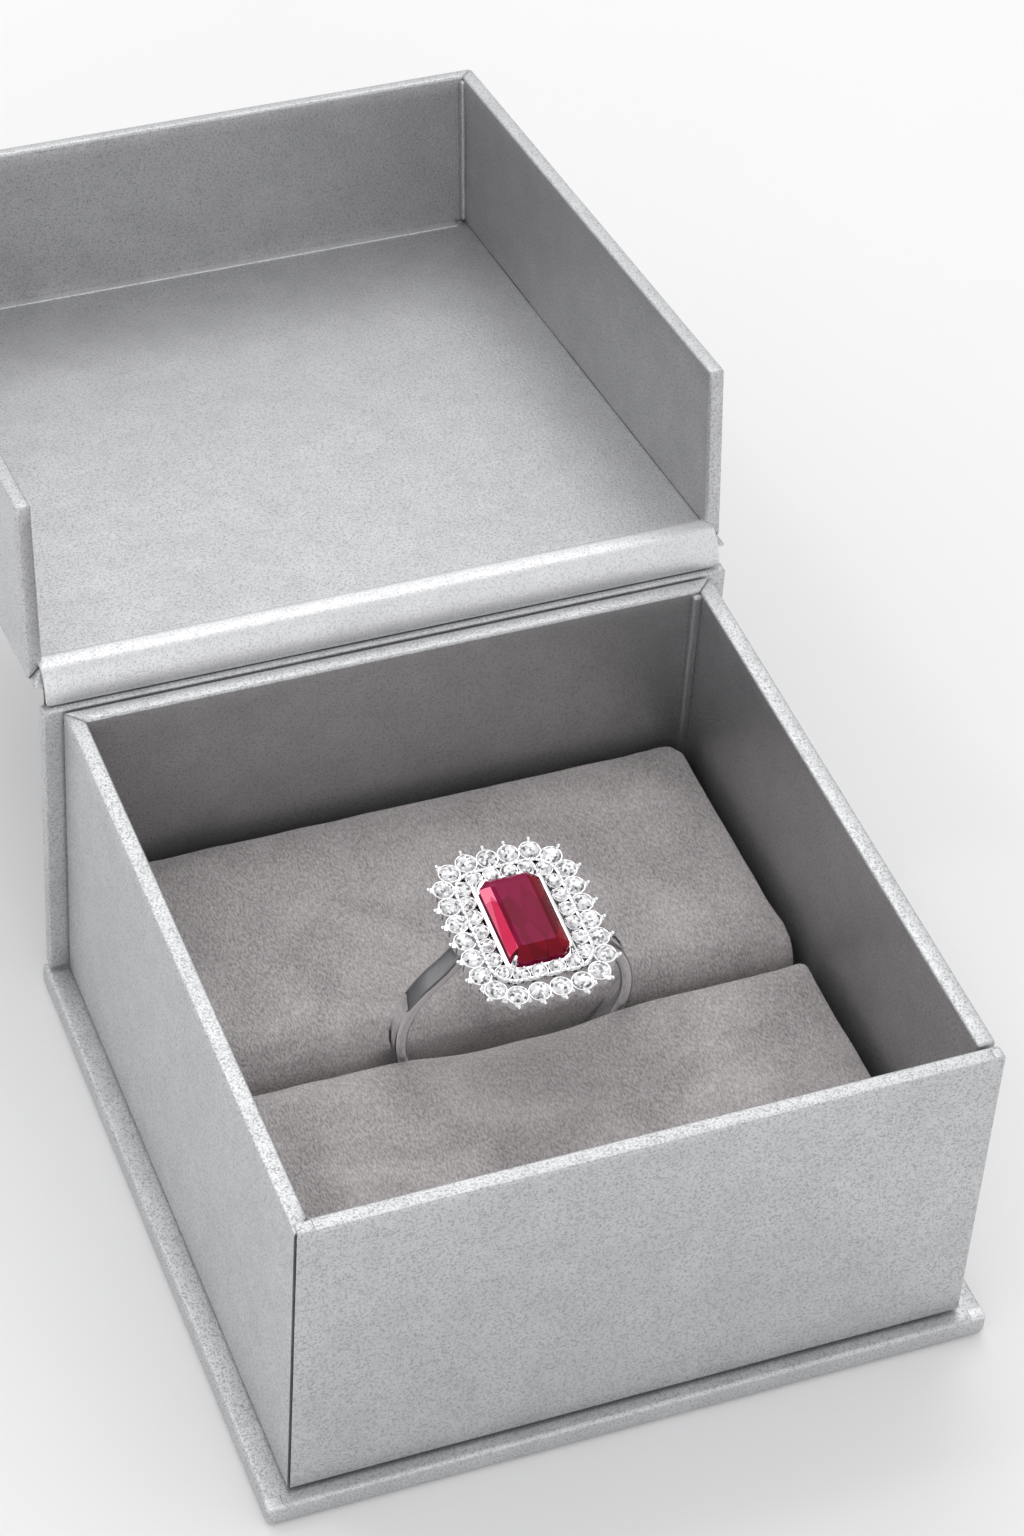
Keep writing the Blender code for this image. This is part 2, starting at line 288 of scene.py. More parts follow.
def ramp(tree, value, stops):
    """A value mapped through (position, grey) stops."""
    made = node(tree, "ValToRGB", {"Fac": value})
    elements = made.color_ramp.elements
    while len(elements) < len(stops):
        elements.new(0.5)
    for element, (position, grey) in zip(elements, stops):
        element.position = position
        element.color = (grey, grey, grey, 1)
    return made.outputs["Color"]


def pebble_group():
    """Fine pebbled grain of the pearl paper: pits, and a soft cloudiness."""
    tree, into, out = shader_group(
        "pebble_grain",
        [("Vector", "NodeSocketVector", None), ("Pits per metre", "NodeSocketFloat", 6200.0)],
        [("Pits", "NodeSocketFloat"), ("Cloud", "NodeSocketFloat"), ("Height", "NodeSocketFloat")])
    vector, size = into.outputs["Vector"], into.outputs["Pits per metre"]
    pits = node(tree, "TexNoise", {"Vector": vector, "Scale": size, "Detail": 2.0,
                                   "Roughness": 0.55, "Distortion": 0.6})
    speck = ramp(tree, pits.outputs["Fac"], ((0.36, 1.0), (0.52, 0.0)))
    soft = node(tree, "TexNoise", {"Vector": vector, "Scale": 260.0, "Detail": 5.0,
                                   "Roughness": 0.65})
    cloud = ramp(tree, soft.outputs["Fac"], ((0.3, 0.0), (0.7, 1.0)))
    tree.links.new(speck, out.inputs["Pits"])
    tree.links.new(cloud, out.inputs["Cloud"])
    tree.links.new(pits.outputs["Fac"], out.inputs["Height"])
    return tree


def nap_group():
    """Short velvet pile: fine fibre ends, and patches brushed one way or the other."""
    tree, into, out = shader_group(
        "velvet_nap",
        [("Vector", "NodeSocketVector", None), ("Fibres per metre", "NodeSocketFloat", 6600.0)],
        [("Fibre", "NodeSocketFloat"), ("Brushed", "NodeSocketFloat"),
         ("Height", "NodeSocketFloat")])
    vector, size = into.outputs["Vector"], into.outputs["Fibres per metre"]
    leaning = node(tree, "Mapping", {"Vector": vector, "Rotation": (0.2, 0.3, 0.5),
                                     "Scale": (1.0, 0.42, 0.7)})
    fibre = node(tree, "TexNoise", {"Vector": leaning.outputs["Vector"], "Scale": size,
                                    "Detail": 3.0, "Roughness": 0.6})
    ends = ramp(tree, fibre.outputs["Fac"], ((0.34, 0.0), (0.66, 1.0)))
    patch = node(tree, "TexNoise", {"Vector": vector, "Scale": 120.0, "Detail": 3.0,
                                    "Roughness": 0.5, "Distortion": 0.6})
    brushed = ramp(tree, patch.outputs["Fac"], ((0.32, 0.0), (0.68, 1.0)))
    tree.links.new(ends, out.inputs["Fibre"])
    tree.links.new(brushed, out.inputs["Brushed"])
    tree.links.new(fibre.outputs["Fac"], out.inputs["Height"])
    return tree


def polish_group():
    """Hairline polishing marks and a faint smear, for metal and stones."""
    tree, into, out = shader_group(
        "polish_marks",
        [("Vector", "NodeSocketVector", None), ("Marks per metre", "NodeSocketFloat", 5000.0)],
        [("Smear", "NodeSocketFloat"), ("Height", "NodeSocketFloat")])
    vector = into.outputs["Vector"]
    drawn = node(tree, "Mapping", {"Vector": vector, "Scale": (1.0, 0.12, 1.0)})
    marks = node(tree, "TexNoise", {"Vector": drawn.outputs["Vector"],
                                    "Scale": into.outputs["Marks per metre"], "Detail": 2.0})
    smear = node(tree, "TexNoise", {"Vector": vector, "Scale": 420.0, "Detail": 3.0})
    tree.links.new(smear.outputs["Fac"], out.inputs["Smear"])
    tree.links.new(marks.outputs["Fac"], out.inputs["Height"])
    return tree


def start_material(name, colour, **sockets):
    made = bpy.data.materials.new(name)
    made.use_nodes = True
    made.diffuse_color = (*colour[:3], 1)
    tree = made.node_tree
    shader = tree.nodes["Principled BSDF"]
    shader.inputs["Base Color"].default_value = (*colour[:3], 1)
    for key, value in sockets.items():
        shader.inputs[key].default_value = value
    where = tree.nodes.new("ShaderNodeTexCoord").outputs["Object"]
    return made, tree, shader, where


def use_group(tree, group, where, **inputs):
    made = node(tree, "Group", node_tree=group)
    tree.links.new(where, made.inputs["Vector"])
    for key, value in inputs.items():
        made.inputs[key].default_value = value
    return made


def mix_colour(tree, factor, first, second):
    made = node(tree, "Mix", data_type="RGBA")
    for socket, value in ((made.inputs[0], factor), (made.inputs[6], first),
                          (made.inputs[7], second)):
        if isinstance(value, bpy.types.NodeSocket):
            tree.links.new(value, socket)
        else:
            socket.default_value = (*value, 1)
    return made.outputs[2]


def scaled(tree, value, factor, offset):
    return node(tree, "Math", {0: value, 1: factor, 2: offset},
                operation="MULTIPLY_ADD").outputs[0]


def bump(tree, height, strength, distance):
    return node(tree, "Bump", {"Height": height, "Strength": strength,
                               "Distance": distance}).outputs["Normal"]


def paper_material(name, grain, light, pit, metallic=0.90, roughness=0.38, cloudy=0.08):
    made, tree, shader, where = start_material(name, light, **{"Metallic": metallic})
    pebbles = use_group(tree, grain, where)
    cloud = tuple(max(0.0, c - cloudy) for c in light)
    ground = mix_colour(tree, pebbles.outputs["Cloud"], cloud, light)
    final = node(tree, "Mix", data_type="RGBA")
    tree.links.new(scaled(tree, pebbles.outputs["Pits"], 0.58, 0.0), final.inputs[0])
    tree.links.new(ground, final.inputs[6])
    final.inputs[7].default_value = (*pit, 1)
    tree.links.new(final.outputs[2], shader.inputs["Base Color"])
    tree.links.new(scaled(tree, pebbles.outputs["Pits"], 0.2, roughness),
                   shader.inputs["Roughness"])
    tree.links.new(bump(tree, pebbles.outputs["Height"], 0.5, 0.06 * MM),
                   shader.inputs["Normal"])
    return made


def velvet_material(nap):
    light, dark = (0.69, 0.645, 0.65), (0.21, 0.196, 0.197)
    made, tree, shader, where = start_material(
        "grey_velvet", light, **{"Roughness": 0.95, "Sheen Weight": 0.9, "Sheen Roughness": 0.3,
                                 "Sheen Tint": (0.95, 0.92, 0.9, 1)})
    pile = use_group(tree, nap, where)
    amount = node(tree, "Math", {0: scaled(tree, pile.outputs["Fibre"], 0.62, 0.06),
                                 1: scaled(tree, pile.outputs["Brushed"], 0.32, 0.03)},
                  operation="ADD").outputs[0]
    tree.links.new(mix_colour(tree, amount, dark, light), shader.inputs["Base Color"])
    tree.links.new(bump(tree, pile.outputs["Height"], 1.0, 0.15 * MM), shader.inputs["Normal"])
    return made


def white_gold_material(polish):
    made, tree, shader, where = start_material("white_gold", (0.86, 0.86, 0.87), Metallic=1.0)
    marks = use_group(tree, polish, where)
    tree.links.new(scaled(tree, marks.outputs["Smear"], 0.05, 0.0), shader.inputs["Roughness"])
    tree.links.new(mix_colour(tree, marks.outputs["Smear"], (0.97, 0.97, 0.975),
                              (0.88, 0.88, 0.895)), shader.inputs["Base Color"])
    tree.links.new(bump(tree, marks.outputs["Height"], 0.02, 0.004 * MM), shader.inputs["Normal"])
    return made


def ruby_material(name, facets, polish, dark, deep, bright, painted_glow):
    # Painted reflections and glints: facet cells lighten the colour towards bright, and some cells
    # glow through the emission.
    made, tree, shader, where = start_material(
        name, deep, **{"Transmission Weight": 0.12, "IOR": 1.6, "Specular IOR Level": 0.06,
                       "Emission Strength": painted_glow})
    drawn = node(tree, "Mapping", {"Vector": where, "Scale": (1.5, 0.5, 1.0),
                                   "Location": (0.0013, 0.0004, 0.0)})
    cut = use_group(tree, facets, drawn.outputs["Vector"], **{"Facets per metre": 520.0})
    marks = use_group(tree, polish, where)
    ground = mix_colour(tree, marks.outputs["Smear"], dark, deep)
    tree.links.new(mix_colour(tree, scaled(tree, cut.outputs["Facet"], 0.4, 0.0), ground,
                              bright), shader.inputs["Base Color"])
    tree.links.new(mix_colour(tree, cut.outputs["Spark"], dark, bright),
                   shader.inputs["Emission Color"])
    tree.links.new(scaled(tree, marks.outputs["Smear"], 0.04, 0.0), shader.inputs["Roughness"])
    return made


def facet_group():
    """Painted light for small cut stones: bright and grey cells, none larger than a facet, stand in
    for reflections, and some cells are painted glints.
    """
    tree, into, out = shader_group(
        "stone_facets",
        [("Vector", "NodeSocketVector", None), ("Facets per metre", "NodeSocketFloat", 4600.0)],
        [("Facet", "NodeSocketFloat"), ("Spark", "NodeSocketFloat")])
    cells = node(tree, "TexVoronoi", {"Vector": into.outputs["Vector"],
                                      "Scale": into.outputs["Facets per metre"]})
    parts = node(tree, "SeparateColor", {"Color": cells.outputs["Color"]})
    tree.links.new(ramp(tree, parts.outputs["Red"], ((0.15, 0.0), (0.5, 1.0))),
                   out.inputs["Facet"])
    tree.links.new(ramp(tree, parts.outputs["Green"], ((0.62, 0.0), (0.7, 1.0))),
                   out.inputs["Spark"])
    return tree


def diamond_material(facets, polish):
    # Painted reflections and glints: facet cells paint dark and bright facets into the colour, and
    # glint cells glow through the emission.
    made, tree, shader, where = start_material(
        "white_stone", (0.95, 0.96, 0.98),
        **{"Transmission Weight": 0.2, "IOR": 2.0, "Emission Strength": 0.3})
    cut = use_group(tree, facets, where)
    marks = use_group(tree, polish, where, **{"Marks per metre": 9000.0})
    tree.links.new(mix_colour(tree, cut.outputs["Facet"], (0.07, 0.07, 0.08),
                              (0.88, 0.88, 0.91)), shader.inputs["Base Color"])
    tree.links.new(mix_colour(tree, cut.outputs["Spark"], (0.02, 0.02, 0.02),
                              (1.0, 1.0, 1.0)), shader.inputs["Emission Color"])
    tree.links.new(scaled(tree, marks.outputs["Smear"], 0.06, 0.0), shader.inputs["Roughness"])
    return made


PEBBLES, NAP, POLISH, FACETS = pebble_group(), nap_group(), polish_group(), facet_group()
SILVER_PAPER = paper_material("silver_paper", PEBBLES, (0.64, 0.645, 0.655), (0.27, 0.27, 0.28))
# The same paper made darker for the faces inside the box and in its inner corners: painted shade.
SHADED_INSIDE_PAPER = paper_material("lining_paper", PEBBLES, (0.53, 0.53, 0.54), (0.25, 0.25, 0.26))
# Lighter paper for folded tabs, the lid's foot and the hinge's roll: partly the paper's own paler
# folds, partly painted light where the roll faces the lamps.
CREASED_PAPER_WITH_PAINTED_LIGHT = paper_material("creased_paper", PEBBLES, (0.82, 0.825, 0.835),
                               (0.52, 0.52, 0.53), roughness=0.42)
GREY_CARD = paper_material("grey_card", PEBBLES, (0.42, 0.41, 0.40), (0.34, 0.33, 0.32),
                           metallic=0.0, roughness=0.85)
VELVET = velvet_material(NAP)
WHITE_GOLD = white_gold_material(POLISH)
RED_STONE = ruby_material("red_stone", FACETS, POLISH, (0.13, 0.0, 0.010), (0.24, 0.001, 0.040),
                          (0.36, 0.003, 0.085), 0.05)
# Shaded and lit copies of the red stone, given to facets by the way they face: painted shade and
# painted highlight.
RED_PAINTED_SHADE = ruby_material("red_stone_shade", FACETS, POLISH, (0.03, 0.0, 0.002),
                          (0.10, 0.0, 0.008), (0.38, 0.002, 0.02), 0.15)
RED_PAINTED_HIGHLIGHT = ruby_material("red_stone_light", FACETS, POLISH, (0.45, 0.01, 0.05),
                          (0.7, 0.05, 0.14), (0.95, 0.30, 0.42), 0.4)
WHITE_STONE = diamond_material(FACETS, POLISH)


def dress(obj, material, body, slot, *nodes):
    """Give a finished piece its material and body, and hide the CAD nodes it stands for; the slot is
    not used.
    """
    obj.data.materials.clear()
    obj.data.materials.append(material)
    if body:
        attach(obj, body)
    if nodes:
        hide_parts(*nodes)
    return obj


def paint(obj, material, test):
    """Give the faces that pass a test a material of their own."""
    obj.data.materials.append(material)
    edit(obj)
    pick(obj, "faces", test)
    obj.active_material_index = len(obj.data.materials) - 1
    bpy.ops.object.material_slot_assign()
    done()


# ---------------------------------------------------------------- wrapped boards

def on_plane(item, planes, slack=2e-6):
    return any(all(abs((v.co - point).dot(normal)) < slack for v in item.verts)
               for point, normal in planes)


def wrapped_board(name, low, high, mitres=(), roll=RIM_ROLL, seam_roll=SEAM_ROLL, place=None):
    """A board under its paper: cut to its mitres, its edges rolled, and not quite flat."""
    obj = block(name, low, high)
    edit(obj)
    planes = [(Vector(point), Vector(normal).normalized()) for point, normal in mitres]
    for point, normal in planes:
        bpy.ops.mesh.select_all(action="SELECT")
        bpy.ops.mesh.bisect(plane_co=point, plane_no=normal, use_fill=True, clear_outer=True)
    pick(obj, "edges", lambda e: not on_plane(e, planes))
    bevel(roll, 3)
    if planes:
        pick(obj, "edges", lambda e: on_plane(e, planes)
             and e.calc_face_angle(0.0) > math.radians(30))
        bevel(seam_roll, 2)
    for axis in range(3):
        slice_all(axis, low[axis], high[axis], GRID)
    outward()
    done()
    if place is not None:
        obj.matrix_world = place
        settle(obj)
    wave(obj, WAVE, WAVE_LENGTH)
    smooth(obj)
    return obj


def wave(obj, height, length):
    """Let a surface wander a little, as glued paper and board do."""
    clouds = bpy.data.textures.get("board_wave") or bpy.data.textures.new("board_wave", "CLOUDS")
    clouds.noise_scale = length
    clouds.noise_depth = 1
    apply_modifier(obj, "DISPLACE", texture=clouds, texture_coords="LOCAL", strength=height,
                   mid_level=0.5)


def make_base():
    low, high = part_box("base_board")
    board = block("base_board_wrap", low, high)
    edit(board)
    pick(board, "edges", lambda e: abs(e.verts[0].co.z - e.verts[1].co.z) > MM)
    bevel(0.45 * MM, 2)
    pick(board, "edges", lambda e: abs(e.verts[0].co.z - e.verts[1].co.z) < MM / 10
         and e.calc_face_angle(0.0) > math.radians(60))
    bevel(BASE_ROLL, 4)
    for axis in range(2):
        slice_all(axis, low[axis], high[axis], GRID)
    outward()
    done()
    wave(board, WAVE, WAVE_LENGTH)
    smooth(board)
    dress(board, SILVER_PAPER, "base", "silver_paper", "base_board")
    for name, left, right in (("base_corner_left", low.x, low.x + 1.5 * MM),
                              ("base_corner_right", high.x - 1.5 * MM, high.x)):
        folded_tab(name, (left + 0.05 * MM, low.y + 0.05 * MM, high.z - 0.5 * MM),
                   (right - 0.05 * MM, low.y + 1.2 * MM, high.z + 0.07 * MM), 0.2 * MM, "base")
    low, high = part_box("spine_board")
    spine = wrapped_board("spine_wrap", low, high)
    dress(spine, SILVER_PAPER, "base", "silver_paper", "spine_board")


def make_tray():
    """Four walls, mitred where they meet; the paper ends at the front left corner."""
    front_low, front_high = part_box("tray_front_wall")
    rear_low, rear_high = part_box("tray_rear_wall")
    left_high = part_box("tray_left_wall")[1]
    right_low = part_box("tray_right_wall")[0]
    x_left, x_right = front_low.x, front_high.x
    y_front, y_rear = front_low.y, rear_high.y
    bottom, rim = front_low.z, front_high.z

    def mitre(x, y, normal, gap):
        normal = Vector(normal).normalized()
        return Vector((x, y, 0)) - normal * gap, normal

    wrapped = (
        ("tray_front", (x_left, y_front, bottom), (x_right, front_high.y, rim),
         [mitre(x_left, y_front, (-1, 1, 0), SPLIT_GAP)]),
        ("tray_left", (x_left, y_front, bottom), (left_high.x, y_rear, rim),
         [mitre(x_left, y_front, (1, -1, 0), SPLIT_GAP),
          mitre(x_left, y_rear, (1, 1, 0), SEAM_GAP)]),
        ("tray_rear", (x_left, rear_low.y, bottom), (x_right, y_rear, rim),
         [mitre(x_left, y_rear, (-1, -1, 0), SEAM_GAP),
          mitre(x_right, y_rear, (1, -1, 0), SEAM_GAP)]),
        ("tray_right", (right_low.x, right_low.y, bottom), (x_right, y_rear, rim),
         [mitre(x_right, y_rear, (-1, 1, 0), SEAM_GAP)]),
    )
    for name, low, high, mitres in wrapped:
        wall = wrapped_board(name + "_wrap", low, high, mitres)
        dress(wall, SILVER_PAPER, "base", "silver_paper", name + "_wall")
        # Faces on the walls' inner side take the darker paper: painted shade.
        paint(wall, SHADED_INSIDE_PAPER, lambda f: middle(f).z < rim - 0.2 * MM
              and abs(middle(f).x) < right_low.x + INSIDE_SLACK
              and front_high.y - INSIDE_SLACK < middle(f).y < rear_low.y + INSIDE_SLACK)


def make_lid():
    """The panel and its three walls, built shut and laid open; mitred along every outer edge."""
    low, high = box_in(LID, "lid_board")
    thick = high.z - low.z
    wall_low, wall_high = box_in(LID, "lid_left_wall")
    far, near = low.y, wall_high.y
    half, free = high.x, wall_low.z

    def mitre(point, normal, gap=SEAM_GAP):
        normal = Vector(normal).normalized()
        return Vector(point) - normal * gap, normal

    def is_inside(point):
        return (abs(point.x) < half - thick + INSIDE_SLACK
                and point.y > far + thick - INSIDE_SLACK
                and point.z > free + RIM_ROLL and point.y < near - RIM_ROLL)

    left, right, end = (-half, 0, 0), (half, 0, 0), (0, far, 0)
    pieces = (
        ("lid_board", low, high,
         [mitre(left, (-1, 0, -1)), mitre(right, (1, 0, -1)), mitre(end, (0, -1, -1)),
          mitre((0, 0, 0), (0, 1.3, -1.9))]),
        ("lid_front_wall", (-half, far, free), (half, far + thick, 0),
         [mitre(end, (0, 1, 1)), mitre((-half, far, 0), (-1, 1, 0)),
          mitre((half, far, 0), (1, 1, 0))]),
        ("lid_left_wall", (-half, far, free), (-half + thick, near, 0),
         [mitre(left, (1, 0, 1)), mitre((-half, far, 0), (1, -1, 0))]),
        ("lid_right_wall", (half - thick, far, free), (half, near, 0),
         [mitre(right, (-1, 0, 1)), mitre((half, far, 0), (-1, -1, 0))]),
    )
    for node_name, piece_low, piece_high, mitres in pieces:
        piece = wrapped_board(node_name + "_wrap", piece_low, piece_high, mitres, place=LID)
        dress(piece, SILVER_PAPER, "lid", "silver_paper", node_name)
        if node_name != "lid_board":
            # Faces on the walls' inner side take the darker paper: painted shade.
            paint(piece, SHADED_INSIDE_PAPER, lambda f: is_inside(LID.inverted() @ middle(f)))


def folded_tab(name, low, high, ease, body, place=None, paper=CREASED_PAPER_WITH_PAINTED_LIGHT):
    """A small tab of folded paper."""
    tab = block(name, low, high)
    edit(tab)
    bpy.ops.mesh.select_all(action="SELECT")
    bevel(ease, 3)
    for axis in range(3):
        slice_all(axis, low[axis], high[axis], 1.2 * MM)
    outward()
    done()
    if place is not None:
        tab.matrix_world = place
        settle(tab)
    wave(tab, 0.06 * MM, 1.5 * MM)
    smooth(tab, 60)
    return dress(tab, paper, body, "silver_paper")


def make_folds():
    """Paper folded at the tray's front rim and lapped in two inner corners and at the lid's foot."""
    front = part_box("tray_front_wall")
    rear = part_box("tray_rear_wall")
    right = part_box("tray_right_wall")
    rim, y, left, end = front[1].z, front[0].y, front[0].x, front[1].x
    folded_tab("rim_fold_left", (left + 0.25 * MM, y + 0.02 * MM, rim - 0.3 * MM),
               (left + 1.7 * MM, y + 1.25 * MM, rim + 0.11 * MM), 0.16 * MM, "base",
               paper=SILVER_PAPER)
    folded_tab("rim_fold_right", (end - 0.85 * MM, y + 0.05 * MM, rim - 0.3 * MM),
               (end + 0.02 * MM, y + 1.2 * MM, rim + 0.1 * MM), 0.16 * MM, "base",
               paper=SILVER_PAPER)
    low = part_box("insert_card")[1].z + 4 * MM
    # The lap in the tray's inner corner takes the darker paper: painted shade.
    folded_tab("tray_corner_overlap", (right[0].x - 0.75 * MM, rear[0].y - 0.55 * MM, low),
               (right[0].x + 0.1 * MM, rear[0].y + 0.1 * MM, rim - 0.25 * MM), 0.25 * MM, "base",
               paper=SHADED_INSIDE_PAPER)
    low, high = box_in(LID, "lid_right_wall")
    # The lap in the lid's inner corner takes the darker paper too: painted shade.
    folded_tab("lid_corner_overlap", (low.x - 0.42 * MM, low.y - 0.35 * MM, low.z + 0.3 * MM),
               (low.x + 0.1 * MM, low.y + 0.4 * MM, high.z), 0.2 * MM, "lid", LID, SHADED_INSIDE_PAPER)
    far = box_in(LID, "lid_front_wall")[1].y
    half = high.x - 2.2 * MM
    board = box_in(LID, "lid_board")[0].z
    folded_tab("lid_foot_strip", (-half, far - 0.1 * MM, board - 0.1 * MM),
               (half, far + 1.0 * MM, board + 0.1 * MM), 0.06 * MM, "lid", LID)


def make_hinge():
    """The paper that runs from the spine over the fold on to the lid, inside and outside."""
    hinge = Vector(joint("lid_hinge")["pos_m"])
    spine_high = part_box("spine_board")[1]
    half = spine_high.x - 0.5 * MM
    drop = spine_high.z - hinge.z
    lid_inner = -box_in(LID, "lid_board")[0].z
    slope = math.radians(joint("lid_hinge")["range_deg"][0]) + math.pi
    along = Vector((0, math.cos(slope), math.sin(slope)))
    into = Vector((0, -math.sin(slope), math.cos(slope)))
    lining = [Vector((0, y * MM, z * MM)) for y, z in (
        (-0.46, -1.44), (-0.58, -1.1), (-0.52, -0.6), (-0.30, -0.05), (0.02, 0.5),
        (0.40, 0.98), (0.85, 1.32))]
    lining += [along * y * MM + into * (lid_inner + z * MM) for y, z in (
        (1.5, 0.20), (2.0, 0.21), (2.3, 0.12), (2.45, -0.04))]
    outer = [Vector((0, y * MM, z * MM)) for y, z in (
        (0.24, drop / MM - 2.6), (0.26, drop / MM), (0.26, -0.75), (0.36, -0.38))]
    outer += [along * y * MM + into * z * MM for y, z in ((0.9, -0.27), (3.4, -0.24))]
    for name, route, thickness in (("hinge_lining", lining, 0.3 * MM),
                                   ("hinge_outer", outer, 0.14 * MM)):
        strip = ribbon(name, [hinge + p for p in route], half, thickness)
        # The lining over the hinge's roll takes the lighter paper: painted light where the roll faces
        # the lamps.
        dress(strip, CREASED_PAPER_WITH_PAINTED_LIGHT if name == "hinge_lining" else SILVER_PAPER, None,
              "silver_paper")
        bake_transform(strip)


def ribbon(name, route, half, thickness):
    """A strip of paper as wide as the hinge, drawn along a route in the YZ plane."""
    bpy.ops.mesh.primitive_plane_add(size=1, location=(0, 0, 0))
    obj = bpy.context.object
    obj.name = obj.data.name = name
    edit(obj, "VERT")
    pick(obj, "verts", lambda v: v.co.y > 0)
    bpy.ops.mesh.delete(type="VERT")
    bpy.ops.mesh.select_all(action="SELECT")
    bpy.ops.transform.resize(value=(2 * half, 1, 1), center_override=(0, 0, 0))
    here = Vector((0, -0.5, 0))
    for point in route:
        if point is route[0]:
            bpy.ops.transform.translate(value=point - here)
        else:
            bpy.ops.mesh.extrude_region_move(
                TRANSFORM_OT_translate={"value": point - here})
        here = point
    slice_all(0, -half, half, 2 * half / HINGE_CUTS)
    outward()
    done()
    apply_modifier(obj, "SUBSURF", levels=2, render_levels=2)
    apply_modifier(obj, "SOLIDIFY", thickness=thickness, offset=0)
    edit(obj)
    outward()
    done()
    smooth(obj, 60)
    return obj


# ---------------------------------------------------------------- pads

def make_pads():
    """Two velvet pads, filled out by a cloth simulation and parted by the band."""
    front_low, front_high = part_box("front_pad_cover")
    rear_low, rear_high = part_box("rear_pad_cover")
    slot = (front_high.y + rear_low.y) / 2
    front_high.y, rear_low.y = slot - PAD_PARTING, slot + PAD_PARTING
    for name, low, high, slot_y, roll in (
        ("front", front_low, front_high, front_high.y, 0.7 * MM),
        ("rear", rear_low, rear_high, rear_low.y, 3.0 * MM),
    ):
        pad = pad_form(name + "_cushion", low, high, slot_y, roll)
        fill_out(pad)
        shape_pad(pad, low, high, slot_y, name == "front")
        apply_modifier(pad, "SUBSURF", levels=1, render_levels=1)
        smooth(pad, 80)
        dress(pad, VELVET, "base", "grey_velvet", name + "_pad_cover", name + "_foam")


def pad_form(name, low, high, slot_y, roll):
    """A foam block cut a little small, with round corners and its top edges eased."""
    inset = Vector((PAD_START_INSET,) * 3)
    pad = block(name, low + inset, high - inset)
    far_y = low.y if slot_y > (low.y + high.y) / 2 else high.y
    edit(pad)
    pick(pad, "edges", lambda e: abs(e.verts[0].co.z - e.verts[1].co.z) > MM
         and abs(e.verts[0].co.y - far_y) < MM)
    bevel(2.2 * MM, 5)
    pick(pad, "edges", lambda e: min(v.co.z for v in e.verts) > high.z - MM
         and all(abs(v.co.y - slot_y) < MM for v in e.verts))
    bevel(roll, 6)
    pick(pad, "edges", lambda e: min(v.co.z for v in e.verts) > high.z - MM
         and e.calc_face_angle(0.0) > math.radians(50))
    bevel(0.9 * MM, 4)
    done()
    apply_modifier(pad, "REMESH", mode="VOXEL", voxel_size=PAD_VOXEL)
    return pad


def points_of(obj):
    points = np.empty(len(obj.data.vertices) * 3)
    obj.data.vertices.foreach_get("co", points)
    return points.reshape(-1, 3)


def set_points(obj, points):
    obj.data.vertices.foreach_set("co", points.ravel())
    obj.data.update()


def fill_out(pad):
    """Blow the cover up a little under pressure, with no point moving further than a cap."""
    pad.scale = (SIM_SCALE,) * 3
    settle(pad)
    start = points_of(pad)
    only(pad)
    cloth = pad.modifiers.new("cloth", "CLOTH")
    cloth.settings.quality = 5
    cloth.settings.use_pressure = True
    cloth.settings.uniform_pressure_force = 4.0
    cloth.settings.effector_weights.gravity = 0.0
    cloth.collision_settings.use_collision = False
    for number in range(1, 21):
        bpy.context.scene.frame_set(number)
    bpy.ops.object.modifier_apply(modifier=cloth.name)
    bpy.context.scene.frame_set(1)
    moved = points_of(pad) - start
    length = np.linalg.norm(moved, axis=1, keepdims=True)
    cap = PAD_CAP * SIM_SCALE
    set_points(pad, start + moved * np.minimum(1.0, cap / np.maximum(length, 1e-9)))
    pad.scale = (1 / SIM_SCALE,) * 3
    settle(pad)


def shape_pad(pad, low, high, slot_y, is_front):
    """Press the pad into the tray, part it for the band, and dent it before the ring."""
    points = points_of(pad)
    x, y, z = points[:, 0], points[:, 1], points[:, 2]
    if is_front:
        across = np.exp(-(x / DENT_HALF_WIDTH) ** 4)
        back = np.clip((y - (slot_y - DENT_LENGTH)) / DENT_LENGTH, 0, 1) ** 2
        top = np.clip((z - (high.z - DENT_HEIGHT)) / DENT_HEIGHT, 0, 1)
        points[:, 2] -= DENT_DEPTH * across * back * top
    place = np.array(RING.inverted())
    local = points @ place[:3, :3].T + place[:3, 3]
    radius = np.hypot(local[:, 0], local[:, 2])
    part = np.clip((BAND_RADIUS + 3.4 * MM - radius) / (3.1 * MM), 0, 1)
    part = part * part * (3 - 2 * part) * BAND_HALF_ROOM
    side = -1 if is_front else 1
    reach = np.minimum if is_front else np.maximum
    local[:, 1] = np.where(part > 0, reach(local[:, 1], side * part), local[:, 1])
    back = np.array(RING)
    points = local @ back[:3, :3].T + back[:3, 3]
    points = np.clip(points, np.array(low), np.array(high))
    set_points(pad, points)
    wave(pad, 0.16 * MM, 5 * MM)


# ---------------------------------------------------------------- ring

GIRDLE = box_in(RING, "centre_stone")[1].z - 0.75 * MM     # the centre stone's widest level


